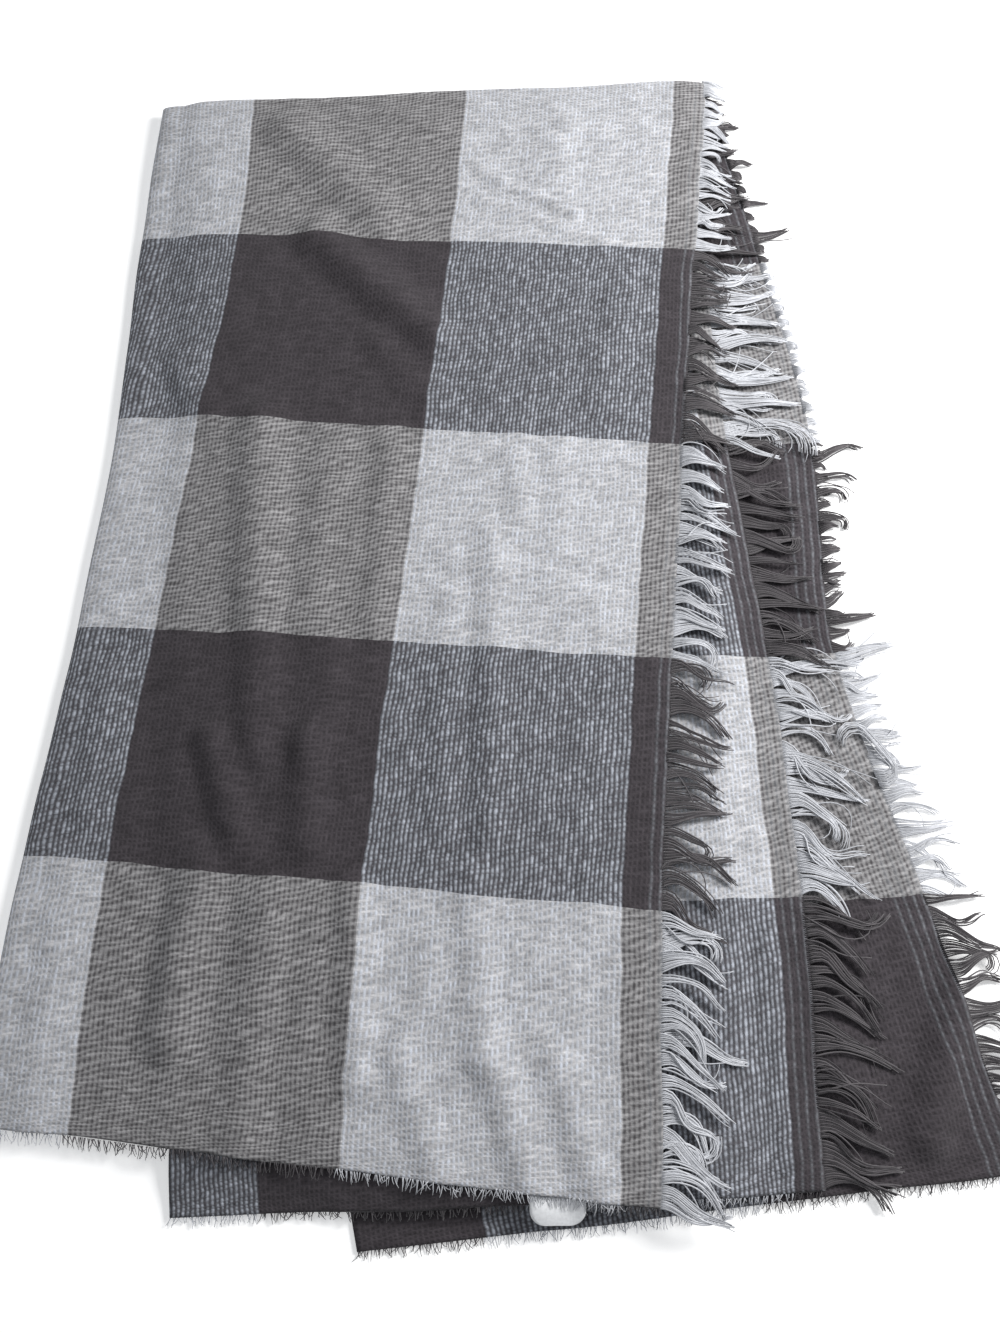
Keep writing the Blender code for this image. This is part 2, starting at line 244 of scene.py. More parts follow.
def creases(table, x, y):
    """How far soft creases lift the cloth here: each fades out across its width and at its ends."""
    lift = 0.0
    for x0, y0, x1, y1, half_width, height in table:
        run_x, run_y = x1 - x0, y1 - y0
        length = math.hypot(run_x, run_y)
        across = abs((x - x0) * run_y - (y - y0) * run_x) / length
        if across >= half_width:
            continue
        along = ((x - x0) * run_x + (y - y0) * run_y) / length
        ends = smoothstep((along + half_width) / half_width)
        ends *= smoothstep((length + half_width - along) / half_width)
        lift += height * ends * (1.0 - smoothstep(across / half_width))
    return lift


def stack_height(x, y):
    """The top of the hidden layers: half as high left of the third panel's fold."""
    step = (x - left_fold_x(THIRD_ROWS, y)) / STACK_STEP_WIDTH + 1.0
    return STACK_TOP_LEFT + (STACK_TOP - STACK_TOP_LEFT) * sloped(step)


def stack_bottom_y(x):
    bottom_left, bottom_right = FRONT_ROWS[0][:2], FRONT_ROWS[0][2:]
    f = (x - bottom_left[0]) / (bottom_right[0] - bottom_left[0])
    return bottom_left[1] + (bottom_right[1] - bottom_left[1]) * f + STACK_INSET_BOTTOM


def stack_right_x(y):
    f = (y - FRONT_ROWS[0][3]) / (FRONT_ROWS[-1][3] - FRONT_ROWS[0][3])
    return STACK_RIGHT_BOTTOM_X + (STACK_RIGHT_TOP_X - STACK_RIGHT_BOTTOM_X) * f


def third_level(x, y):
    """The third panel's underside, on the floor."""
    return 0.0002 + creases(THIRD_CREASES, x, y)


def floor_level(x, y):
    """What lies under the second panel off the stack: the third panel, or nothing left of its fold."""
    on_third = smoothstep((x - left_fold_x(THIRD_ROWS, y)) / 0.012 + 1.2)
    return (CLOTH_THICKNESS + third_level(x, y)) * on_third


def second_level(x, y):
    """The second panel's underside: it lies on the stack and sinks past its right and bottom edges."""
    past_right = max(x - stack_right_x(y) - DRAPE_START, 0.0)
    past_bottom = max(stack_bottom_y(x) - y - DRAPE_START, 0.0)
    sink = sloped(math.hypot(past_right, past_bottom) / DRAPE_WIDTH)
    top, low = stack_height(x, y), floor_level(x, y)
    return top + (low - top) * sink + PLY_GAP + creases(SECOND_CREASES, x, y)


def front_level(x, y):
    """The front panel's underside. It stands a little off the second panel, and comes down left of
    that panel's fold."""
    on_second = smoothstep((x - left_fold_x(SECOND_ROWS, y)) / 0.022 + 1.2)
    from_left = smoothstep((x - left_fold_x(FRONT_ROWS, y)) / 0.05)
    from_top = smoothstep((0.35 - y) / 0.05)
    rise = FRONT_PUFF * from_left * from_top + creases(FRONT_CREASES, x, y)
    rise = (rise + math.hypot(rise, 0.0005)) / 2
    return second_level(x, y) + (CLOTH_THICKNESS + PLY_GAP) * on_second + rise


class Nodes:
    """Builds a material's nodes: each call adds one node and returns its output."""

    def __init__(self, name):
        self.material = bpy.data.materials.new(name)
        self.material.use_nodes = True
        self.tree = self.material.node_tree
        self.shader = self.tree.nodes["Principled BSDF"]

    def plug(self, value, socket):
        if isinstance(value, bpy.types.NodeSocket):
            self.tree.links.new(value, socket)
        else:
            socket.default_value = value

    def math(self, operation, a, b=0.0, c=0.0):
        node = self.tree.nodes.new("ShaderNodeMath")
        node.operation = operation
        for value, socket in zip((a, b, c), node.inputs):
            self.plug(value, socket)
        return node.outputs["Value"]

    def product(self, first, *others):
        for other in others:
            first = self.math("MULTIPLY", first, other)
        return first

    def ramp(self, value, low, high, out_low=0.0, out_high=1.0):
        """value from low to high, eased, as out_low to out_high."""
        node = self.tree.nodes.new("ShaderNodeMapRange")
        node.interpolation_type = "SMOOTHSTEP"
        for given, socket in zip((value, low, high, out_low, out_high), node.inputs):
            self.plug(given, socket)
        return node.outputs["Result"]

    def mix(self, factor, a, b):
        node = self.tree.nodes.new("ShaderNodeMix")
        node.data_type = "RGBA"
        self.plug(factor, node.inputs[0])
        self.plug(a, node.inputs[6])
        self.plug(b, node.inputs[7])
        return node.outputs[2]

    def scaled(self, colour, factor):
        """A colour made darker or lighter by a factor."""
        node = self.tree.nodes.new("ShaderNodeVectorMath")
        node.operation = "SCALE"
        self.plug(colour if isinstance(colour, bpy.types.NodeSocket) else colour[:3], node.inputs[0])
        self.plug(factor, node.inputs["Scale"])
        return node.outputs["Vector"]

    def split(self, vector):
        node = self.tree.nodes.new("ShaderNodeSeparateXYZ")
        self.plug(vector, node.inputs[0])
        return node.outputs["X"], node.outputs["Y"]

    def join(self, x, y, z=0.0):
        node = self.tree.nodes.new("ShaderNodeCombineXYZ")
        for value, socket in zip((x, y, z), node.inputs):
            self.plug(value, socket)
        return node.outputs["Vector"]

    def noise(self, vector, scale, detail=2.0, roughness=0.5):
        node = self.tree.nodes.new("ShaderNodeTexNoise")
        node.inputs["Scale"].default_value = scale
        node.inputs["Detail"].default_value = detail
        node.inputs["Roughness"].default_value = roughness
        self.plug(vector, node.inputs["Vector"])
        return node.outputs["Fac"]

    def long_noise(self, x, y, scale_x, scale_y, detail, roughness=0.5):
        """Noise drawn out along one direction of the cloth."""
        place = self.join(self.product(x, scale_x), self.product(y, scale_y))
        return self.noise(place, 1.0, detail, roughness)

    def white_noise(self, x, y):
        """A number from 0 to 1 that is the same for the same x and y, and otherwise unlike."""
        node = self.tree.nodes.new("ShaderNodeTexWhiteNoise")
        node.noise_dimensions = "2D"
        self.plug(self.join(x, y), node.inputs["Vector"])
        return node.outputs["Value"]

    def cloth_place(self):
        node = self.tree.nodes.new("ShaderNodeUVMap")
        node.uv_map = "Cloth"
        return node.outputs["UV"]

    def object_place(self):
        return self.tree.nodes.new("ShaderNodeTexCoord").outputs["Object"]

    def bump(self, height, distance, strength=1.0):
        node = self.tree.nodes.new("ShaderNodeBump")
        node.inputs["Strength"].default_value = strength
        node.inputs["Distance"].default_value = distance
        self.plug(height, node.inputs["Height"])
        self.plug(node.outputs["Normal"], self.shader.inputs["Normal"])


LIGHT_UPRIGHT = (0.448, 0.476, 0.532, 1.0)
LIGHT_LEVEL = (0.518, 0.508, 0.516, 1.0)
FLECK = (0.580, 0.612, 0.690, 1.0)
PINSTRIPE = (0.140, 0.144, 0.158, 1.0)
DARK_YARN = (0.057, 0.050, 0.056, 1.0)
FLOATS_PER_CHECK = 41  # how many times an upright yarn comes to the top along one check
TWILL_STEP = 0.25  # how far the next upright yarn's floats are moved along
FELTED = 0.13  # how much of the yarn underneath shows through the brushed fibres of the one on top
DARK_OVER_LIGHT = 0.32  # how much dark upright yarns dim the cloth where they cross light ones
LIGHT_OVER_DARK = 0.20  # and how much dark level yarns dim it under light upright ones
YARN_SWAY = 1.2  # how far the upright yarns wander sideways, in yarns
FLOAT_DRIFT = 2.4  # how far the floats wander along their yarn, in floats
BRUSHED = 1.5  # how much the brushed nap hides which yarn is on top
FLUFFED = 0.9  # how light the fluffiest floats are
WEAVE_HEIGHT = 0.0005


def woven(name, first_column, light_rows_first, stripe_yarns, stripe_step):
    """Twill of light and dark yarns. The Cloth map is in checks from the fringed edge and up from
    the bottom edge. first_column is the width of the dark column along the fringed edge, with a
    light yarn every stripe_step over its first stripe_yarns."""
    n = Nodes(name)
    place = n.cloth_place()
    x, y = n.split(place)
    sway = n.math("SUBTRACT", n.noise(place, 7.0, 2.0), 0.5)
    drift = n.math("SUBTRACT", n.long_noise(x, y, 6.0, 16.0, 3.0), 0.5)
    across = n.math("MULTIPLY_ADD", x, YARNS_PER_CHECK, n.product(sway, YARN_SWAY))
    floats = n.math("MULTIPLY_ADD", y, FLOATS_PER_CHECK, n.product(drift, FLOAT_DRIFT))
    upright = n.math("FLOOR", across)

    # Which yarns are light: by column for the upright ones, and by row for the level ones.
    checks_across = n.math("DIVIDE", n.math("ADD", upright, 0.5), YARNS_PER_CHECK)
    column = n.math("FLOORED_MODULO", n.math("SUBTRACT", checks_across, first_column), 2.0)
    light_column = n.math("LESS_THAN", column, 1.0)
    on_stripe = n.math("LESS_THAN", n.math("FLOORED_MODULO", upright, stripe_step), 0.5)
    stripe = n.product(on_stripe, n.math("LESS_THAN", upright, stripe_yarns))
    row = n.math("FLOORED_MODULO", n.math("MULTIPLY_ADD", drift, 0.02, y), 2.0)
    light_level = n.math("LESS_THAN" if light_rows_first else "GREATER_THAN", row, 1.0)

    # Each upright yarn is a rib that comes to the top in short floats. The level yarns show
    # between them as fine slanting lines.
    wave = n.math("SINE", n.product(across, math.pi))
    rib = n.product(wave, wave)
    stepped = n.product(n.math("MULTIPLY_ADD", upright, TWILL_STEP, floats), math.tau)
    from_middle = n.math("SUBTRACT", across, 0.5)
    slanted = n.product(n.math("MULTIPLY_ADD", from_middle, TWILL_STEP, floats), math.tau)
    float_on_rib = n.product(rib, n.math("MULTIPLY_ADD", n.math("COSINE", stepped), 0.20, 0.72))
    line = n.math("MULTIPLY_ADD", n.math("COSINE", slanted), -0.5, 0.5)
    nap = n.noise(place, 26.0, 5.0, 0.75)
    clear_of_line = n.math("MULTIPLY_ADD", line, -0.22, float_on_rib)
    shown = n.math("MULTIPLY_ADD", n.math("SUBTRACT", nap, 0.5), BRUSHED, clear_of_line)
    upright_on_top = n.ramp(shown, -0.25, 1.12, FELTED, 1.0 - FELTED)
    height = n.math("MAXIMUM", float_on_rib, n.product(line, 0.55))

    # Each float and each yarn has its own shade, and each rib and slanting line is painted darker towards
    # its edges, as painted shade between the yarns.
    turns = n.math("ADD", n.math("DIVIDE", stepped, math.tau), 0.5)
    own_float = n.white_noise(upright, n.math("FLOOR", turns))
    own_shade = n.math("MULTIPLY_ADD", own_float, 0.40, 0.76)
    slub = n.ramp(n.long_noise(upright, y, 3.7, 7.0, 2.0), 0.25, 0.75, 0.84, 1.12)
    # painted shade: the rib ramp makes each upright yarn darker towards its sides, where it meets the next
    # one
    upright_tone_and_painted_shade = n.product(n.ramp(rib, 0.0, 0.8, 0.78, 1.04), slub, own_shade)
    streak = n.ramp(n.long_noise(x, y, 8.0, 60.0, 4.0, 0.7), 0.25, 0.75, 0.58, 1.36)
    # painted shade: the line ramp makes the troughs between the slanting lines darker
    level_streaks_and_painted_shade = n.product(n.ramp(line, 0.0, 1.0, 0.88, 1.03), streak)
    upright_yarn = n.mix(light_column, n.mix(stripe, DARK_YARN, PINSTRIPE), LIGHT_UPRIGHT)
    level_yarn = n.mix(light_level, DARK_YARN, LIGHT_LEVEL)
    colour = n.mix(upright_on_top, n.scaled(level_yarn, level_streaks_and_painted_shade), n.scaled(upright_yarn, upright_tone_and_painted_shade))

    # Flecks of light nap, the fibres of the crossing yarns that dim the mixed checks, and painted shade in
    # the gaps where the weave is low.
    specks = n.product(n.ramp(n.noise(place, 62.0, 4.0, 0.7), 0.56, 0.72), 0.26)
    fluffed = n.product(n.math("POWER", own_float, 2.5), n.ramp(nap, 0.30, 0.62))
    fleck = n.product(fluffed, float_on_rib, FLUFFED)
    colour = n.mix(n.product(n.math("MAXIMUM", specks, fleck), light_column), colour, FLECK)
    crossed = n.math("SUBTRACT", 1.0, n.math("COMPARE", light_column, light_level, 0.5))
    dim = n.math("MULTIPLY_ADD", light_column, LIGHT_OVER_DARK - DARK_OVER_LIGHT, DARK_OVER_LIGHT)
    dimmed = n.math("SUBTRACT", 1.0, n.product(crossed, dim))
    fuzz = n.noise(place, 210.0, 3.0, 0.7)
    # painted shade: the height ramp darkens the gaps between the floats and lines; the fuzz noise adds a
    # fine random tone
    shade = n.product(n.ramp(height, 0.0, 0.7, 0.84, 1.0), n.ramp(fuzz, 0.3, 0.7, 0.88, 1.10))
    # Random lighter and darker blotches over the cloth.
    blotches = n.ramp(n.noise(place, 9.0, 5.0, 0.7), 0.25, 0.75, 0.87, 1.11)
    n.plug(n.scaled(colour, n.product(shade, blotches, dimmed)), n.shader.inputs["Base Color"])
    n.shader.inputs["Roughness"].default_value = 0.92
    n.shader.inputs["Specular IOR Level"].default_value = 0.15
    n.shader.inputs["Sheen Weight"].default_value = 0.12
    n.shader.inputs["Sheen Roughness"].default_value = 0.5
    n.bump(n.math("MULTIPLY_ADD", fuzz, 0.5, height), WEAVE_HEIGHT, 0.5)
    return n.material


def add_cloth(name, bm, places, material, thickness=CLOTH_THICKNESS):
    """A sheet from a grid whose verts are in place: maps it in checks, gives it its thickness and
    joins it to the folded scarf. places gives each vert's index its place on the cloth."""
    cloth_map = bm.loops.layers.uv.new("Cloth")
    for face in bm.faces:
        for loop in face.loops:
            loop[cloth_map].uv = places[loop.vert.index]
    bmesh.ops.recalc_face_normals(bm, faces=bm.faces)
    if sum(face.normal.z for face in bm.faces) < 0:
        bmesh.ops.reverse_faces(bm, faces=bm.faces)
    mesh = bpy.data.meshes.new(name)
    bm.to_mesh(mesh)
    bm.free()
    mesh.materials.append(material)
    mesh.shade_smooth()
    made = bpy.data.objects.new(name, mesh)
    bpy.context.scene.collection.objects.link(made)
    wall = made.modifiers.new("Thickness", "SOLIDIFY")
    wall.thickness = thickness
    wall.offset = 1.0
    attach(made, "root")
    return made


def grid_with_places(across, along, place):
    """A grid laid out by place(i, j), which gives a vert's spot and its place on the cloth."""
    bm = bmesh.new()
    bmesh.ops.create_grid(bm, x_segments=across, y_segments=along, size=0.5)
    bm.verts.index_update()
    places = {}
    for vert in bm.verts:
        i = round((vert.co.x + 0.5) * across)
        j = round((vert.co.y + 0.5) * along)
        vert.co, places[vert.index] = place(i, j)
    return bm, places


# How much of the cloth goes round each fold, in checks.
LEFT_TURN_CHECKS = 0.24
TOP_TURN_CHECKS = 0.09


def front_place(i, j):
    """The front panel: FRONT_TURN columns go round its left fold, and FRONT_TURN rows its top fold."""
    left_round, top_round = min(i / FRONT_TURN, 1.0), min((FRONT_ALONG - j) / FRONT_TURN, 1.0)
    left_turn = math.radians(180.0) * left_round - math.radians(90.0)
    top_turn = math.radians(170.0) * top_round - math.radians(80.0)
    s = max(i - FRONT_TURN, 0) / (FRONT_ACROSS - FRONT_TURN)
    t = min(j / (FRONT_ALONG - FRONT_TURN), 1.0)
    x, y = spot(FRONT_ROWS, s, t)
    flat = front_level(x, y)
    left_x, _, right_x, _ = along_rows(FRONT_ROWS, t)
    left_share = (CLOTH_THICKNESS + FOLD_RADIUS_LEFT) / (right_x - left_x)
    top_share = (CLOTH_THICKNESS + FOLD_RADIUS_TOP) / (FRONT_ROWS[-1][1] - FRONT_ROWS[0][1])
    u = along_rows(LEFT_FOLD_CHECKS, t)[0] * (1.0 - s) * (1.0 - left_share)
    top_checks = TOP_FOLD_CHECKS[0] + (TOP_FOLD_CHECKS[1] - TOP_FOLD_CHECKS[0]) * s
    rows_up = 5.0 * t * (1.0 - top_share)
    v = min(rows_up, 4.0) + max(rows_up - 4.0, 0.0) * (top_checks - 4.0)
    x += (CLOTH_THICKNESS + FOLD_RADIUS_LEFT * (1.0 - math.cos(left_turn))) * (1.0 - s)
    y -= (CLOTH_THICKNESS + FOLD_RADIUS_TOP * (1.0 - math.cos(top_turn))) * t
    drop = (flat - FOLD_LOWEST) * (1.0 - math.sin(left_turn)) / 2
    drop += (CLOTH_THICKNESS + PLY_GAP) * (1.0 - math.sin(top_turn)) / 2 * max(math.sin(left_turn), 0.0)
    u += LEFT_TURN_CHECKS * (1.0 - left_round)
    v += TOP_TURN_CHECKS * (1.0 - top_round)
    return Vector((x, y, flat - drop)), (u, v)


FRONT_ACROSS, FRONT_ALONG, FRONT_TURN = 160, 270, 16
front_panel = add_cloth(
    "front_cloth",
    *grid_with_places(FRONT_ACROSS, FRONT_ALONG, front_place),
    woven("front_weave", 0.15, True, 3, 2),
)
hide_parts("front_panel")


# ---------------------------------------------------------------------------------------------
# The second panel: the back half of the same end of the cloth, right under the front panel. It
# lies on the stack, sinks onto the third panel past its right edge, and shows there and along the
# bottom.
# ---------------------------------------------------------------------------------------------
PLY_ACROSS, PLY_ALONG = 120, 200
SECOND_CHECKS = 2.45  # how far the second panel's left fold is from its fringed edge


def flat_place(rows, level, left_checks):
    """A ply under another, from its left fold to its fringed edge."""

    def place(i, j):
        s, t = i / PLY_ACROSS, j / PLY_ALONG
        x, y = spot(rows, s, t)
        return Vector((x, y, level(x, y))), (left_checks * (1.0 - s), 5.0 * t)

    return place


second_panel = add_cloth(
    "second_cloth",
    *grid_with_places(PLY_ACROSS, PLY_ALONG, flat_place(SECOND_ROWS, second_level, SECOND_CHECKS)),
    woven("second_weave", 0.11, False, 5, 2),
)
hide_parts("second_panel")


# ---------------------------------------------------------------------------------------------
# The third panel: the back half of the far end of the cloth. It lies lowest, flat on the floor,
# and fans out at the right and the bottom.
# ---------------------------------------------------------------------------------------------
THIRD_CHECKS = 2.40
third_panel = add_cloth(
    "third_cloth",
    *grid_with_places(PLY_ACROSS, PLY_ALONG, flat_place(THIRD_ROWS, third_level, THIRD_CHECKS)),
    woven("third_weave", 0.95, False, 7, 2),
)
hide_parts("third_panel")


# ---------------------------------------------------------------------------------------------
# The hidden layers: the two folded pairs of plies between the second and third panels. Each pair
# turns over at the top fold and ends in two raw edges at the bottom.
# ---------------------------------------------------------------------------------------------
def stack_spot(s, t, left_inset):
    """The place in plan on a hidden ply, s across and t up, inside the front panel's folds."""
    front_left, front_y = spot(FRONT_ROWS, 0.0, t)
    left_x = front_left + STACK_INSET_LEFT
    left_y = front_y + STACK_INSET_BOTTOM * (1.0 - t) - STACK_INSET_TOP * t
    left_x = max(left_x, left_fold_x(THIRD_ROWS, left_y) + left_inset) if left_inset else left_x
    low_y = stack_bottom_y(STACK_RIGHT_BOTTOM_X)
    right_y = low_y + (FRONT_ROWS[-1][3] - STACK_INSET_TOP - low_y) * t
    right_x = stack_right_x(right_y)
    return left_x + (right_x - left_x) * s, left_y + (right_y - left_y) * s


PAIR_ACROSS, PAIR_ALONG, PAIR_TURN = 40, 60, 8
PAIR_CLOTH = 0.0014
PAIR_PITCH = 0.00165
PAIR_TOP_RADIUS = 0.0022
LOWER_PLY_SHOWS = 0.006  # how far the lower ply of a pair comes out at the bottom


def pair_place(base, left_inset, first_check):
    """One folded pair: up the lower ply, round the fold, and back down the upper ply."""

    def place(i, j):
        s = i / PAIR_ACROSS
        if j < PAIR_ALONG:
            t, turn = j / PAIR_ALONG, -math.radians(90.0)
        elif j <= PAIR_ALONG + PAIR_TURN:
            t, turn = 1.0, math.radians(180.0) * (j - PAIR_ALONG) / PAIR_TURN - math.radians(90.0)
        else:
            t, turn = 1.0 - (j - PAIR_ALONG - PAIR_TURN) / PAIR_ALONG, math.radians(90.0)
        x, y = stack_spot(s, t, left_inset)
        rise = (1.0 + math.sin(turn)) / 2
        y += PAIR_TOP_RADIUS * math.cos(turn) - LOWER_PLY_SHOWS * (1.0 - t) * (1.0 - rise)
        z = base(x, y) + PAIR_PITCH * rise
        return Vector((x, y, z)), (first_check + 2.5 * s, 5.0 * t + (0.0 if rise < 0.5 else 0.03))

    return place


def above_third(x, y):
    return CLOTH_THICKNESS + 0.0005


def below_second(x, y):
    return stack_height(x, y) - 2 * PAIR_PITCH


def add_pair(name, base, left_inset, first_check):
    place = pair_place(base, left_inset, first_check)
    bm, places = grid_with_places(PAIR_ACROSS, 2 * PAIR_ALONG + PAIR_TURN, place)
    return add_cloth(name, bm, places, woven(name + "_weave", 0.15, True, 0, 2), PAIR_CLOTH)


hidden_lower = add_pair("lower_pair", above_third, 0.002, 5.1)
hidden_upper = add_pair("upper_pair", below_second, 0.0, 2.6)
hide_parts("hidden_layers")
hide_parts("hidden_layers")


# ---------------------------------------------------------------------------------------------
# The long fringe: the crosswise yarns run out past the right edge of each panel, light in light
# rows and dark in dark ones. They hang together in flat bunches that droop, cross and hook.
# ---------------------------------------------------------------------------------------------
STRAND_RADIUS = 0.00041
STRANDS_PER_YARN = 3
STRAND_STEPS = 12
EDGE_STRANDS = 5 * YARNS_PER_CHECK * STRANDS_PER_YARN

# How far the fringe reaches from the panel's edge at each line between checks: (x, y).
FRONT_REACH = (
    (0.030, -0.020),
    (0.034, -0.020),
    (0.034, -0.014),
    (0.031, -0.008),
    (0.025, -0.004),
    (0.013, -0.003),
)
SECOND_REACH = (
    (0.036, -0.014),
    (0.037, -0.026),
    (0.035, -0.014),
    (0.039, -0.006),
    (0.038, -0.002),
    (0.019, -0.004),
)
# Most of the third fringe is tucked back under its panel, up from the lowest two checks.
THIRD_REACH = (
    (0.034, -0.002),
    (0.032, 0.000),
    (0.017, 0.002),
    (0.007, -0.001),
    (0.006, 0.000),
    (0.005, -0.001),
)

# The bunches that stand out from the rest: (place up the edge, strands, length, slant, bend, hook).
FRONT_BUNCHES = (
    (0.930, 8, 0.022, -0.7, -0.3, 0.0),
    (0.880, 9, 0.026, -0.5, 0.4, 0.0),
    (0.835, 8, 0.024, 0.3, 0.2, 0.0),
    (0.175, 12, 0.040, 0.1, -1.6, -1.2),
    (0.120, 14, 0.046, -0.4, -1.0, 0.9),
    (0.060, 12, 0.040, -0.9, 0.9, 0.0),
)
SECOND_BUNCHES = (
    (0.612, 16, 0.068, 0.05, -1.2, -1.1),
    (0.640, 14, 0.050, 0.10, -0.3, 0.0),
    (0.670, 14, 0.048, 0.00, 0.5, 0.0),
    (0.730, 14, 0.046, 0.05, -0.5, 0.0),
    (0.780, 13, 0.044, 0.05, 0.4, 0.0),
    (0.700, 12, 0.050, 0.30, -0.9, 0.0),
    (0.755, 12, 0.048, 0.10, 0.7, 0.0),
    (0.385, 12, 0.052, 0.20, -0.8, 0.0),
    (0.310, 12, 0.050, -0.5, -0.6, 0.0),
)
THIRD_BUNCHES = (
    (0.955, 10, 0.016, -0.1, 0.5, 0.0),
    (0.905, 9, 0.015, 0.1, -0.3, 0.0),
    (0.865, 9, 0.017, 0.0, 0.3, 0.0),
    (0.830, 12, 0.025, 0.25, 0.5, 0.0),
    (0.583, 10, 0.032, 0.5, -0.6, -0.6),
    (0.562, 10, 0.026, 0.2, -0.4, -0.8),
    (0.549, 9, 0.021, 0.0, -1.0, -1.2),
    (0.525, 10, 0.021, -0.2, -0.8, -1.6),
    (0.470, 8, 0.014, 0.2, 0.4, 0.0),
    (0.430, 10, 0.028, 0.1, 0.3, 0.0),
    (0.396, 14, 0.035, 0.30, -0.2, 0.0),
    (0.372, 10, 0.024, 0.3, 0.2, 0.0),
    (0.330, 9, 0.022, 0.1, -0.3, 0.0),
)


def yarn_material(name, colour):
    n = Nodes(name)
    place = n.object_place()
    strands = n.noise(place, 500.0, 2.0)
    drift = n.noise(place, 60.0, 2.0)
    shade = n.math("MULTIPLY", n.ramp(strands, 0.3, 0.7, 0.92, 1.05), n.ramp(drift, 0.3, 0.7, 0.88, 1.08))
    n.plug(n.scaled(colour, shade), n.shader.inputs["Base Color"])
    n.shader.inputs["Roughness"].default_value = 0.75
    n.shader.inputs["Specular IOR Level"].default_value = 0.25
    n.shader.inputs["Sheen Weight"].default_value = 0.25
    return n.material


# Each fringe yarn has two copies: for the light yarn a darker one as painted shade, and for the dark yarn a
# paler one as painted highlight.
fringe_yarns = (
    yarn_material("dark_yarn", (0.040, 0.036, 0.040, 1.0)),
    yarn_material("dark_yarn_painted_highlight", (0.096, 0.088, 0.094, 1.0)),
    yarn_material("light_yarn_shaded", (0.44, 0.45, 0.48, 1.0)),
    yarn_material("light_yarn", (0.59, 0.60, 0.635, 1.0)),
)


def add_yarns(name, runs, radius):
    """Loose yarns as one mesh: each run is a list of points, with True for a light yarn."""
    lines = bpy.data.curves.new(name, "CURVE")
    lines.dimensions = "3D"
    lines.bevel_depth = radius
    lines.bevel_resolution = 1
    lines.use_fill_caps = True
    for material in fringe_yarns:
        lines.materials.append(material)
    for k, (points, light) in enumerate(runs):
        line = lines.splines.new("POLY")
        line.points.add(len(points) - 1)
        # Every other strand takes its yarn's painted-shade or painted-highlight copy.
        line.material_index = 2 * int(light) + k % 2
        for point, (x, y, z, width) in zip(line.points, points):
            point.co = (x, y, z, 1.0)
            point.radius = width
    holder = bpy.data.objects.new(name + "_lines", lines)
    bpy.context.scene.collection.objects.link(holder)
    bpy.context.view_layer.update()
    graph = bpy.context.evaluated_depsgraph_get()
    mesh = bpy.data.meshes.new_from_object(holder.evaluated_get(graph))
    bpy.data.objects.remove(holder)
    shape = bmesh.new()
    shape.from_mesh(mesh)
    bmesh.ops.remove_doubles(shape, verts=shape.verts, dist=1e-7)
    bmesh.ops.recalc_face_normals(shape, faces=shape.faces)
    shape.to_mesh(mesh)
    shape.free()
    mesh.name = name
    mesh.shade_smooth()
    made = bpy.data.objects.new(name, mesh)
    bpy.context.scene.collection.objects.link(made)
    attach(made, "root")
    return made


def bunch_runs(draw, rows, level, first, size, light, shape):
    """One flat ribbon of strands, from the first of their roots. shape is its length, slant, bend,
    sway and hook."""
    length, slant, bend, sway, hook = shape
    hump = draw.uniform(0.0004, 0.0024)
    layer = draw.choice((0.0, 0.0007, 0.0014))
    pitch = draw.uniform(0.00038, 0.00056)
    edge_x, edge_y = spot(rows, 1.0, (first + size / 2) / EDGE_STRANDS)
    runs = []
    for k in range(size):
        root_x, root_y = spot(rows, 1.0, (first + k + 0.5) / EDGE_STRANDS)
        own_length = length * draw.uniform(0.86, 1.05)
        own_bend = bend + draw.gauss(0.0, 0.10)
        own_slant = slant
        own_height = draw.uniform(0.0, 0.0004)
        if draw.random() < 0.12:
            own_bend += draw.gauss(0.0, 0.9)
            own_slant += draw.gauss(0.0, 0.25)
        side = (k - (size - 1) / 2) * pitch
        points = []
        x, y = 0.0, 0.0
        for step in range(STRAND_STEPS + 1):
            f = step / STRAND_STEPS
            angle = own_slant * smoothstep(f / 0.25) + own_bend * (f - 0.35) + sway * math.sin(math.tau * f)
            angle += hook * smoothstep((f - 0.55) / 0.45)
            gather = smoothstep(f / 0.42)
            narrow = side * gather * (1.0 - 0.6 * smoothstep((f - 0.4) / 0.6))
            cx = edge_x + (root_x - edge_x) * (1.0 - gather) - math.sin(angle) * narrow + x
            cy = edge_y + (root_y - edge_y) * (1.0 - gather) + math.cos(angle) * narrow + y
            z = level(cx, cy) + STRAND_RADIUS + layer * smoothstep(f / 0.25)
            z += hump * math.sin(math.pi * min(f * 1.1, 1.0)) + own_height * f
            z += CLOTH_THICKNESS * 0.4 * (1.0 - smoothstep(f / 0.2))
            points.append((cx - 0.0015 * (1.0 - gather), cy, z, 1.0 - 0.4 * f * f))
            x += math.cos(angle) * own_length / STRAND_STEPS
            y += math.sin(angle) * own_length / STRAND_STEPS
        runs.append((points, light))
    return runs


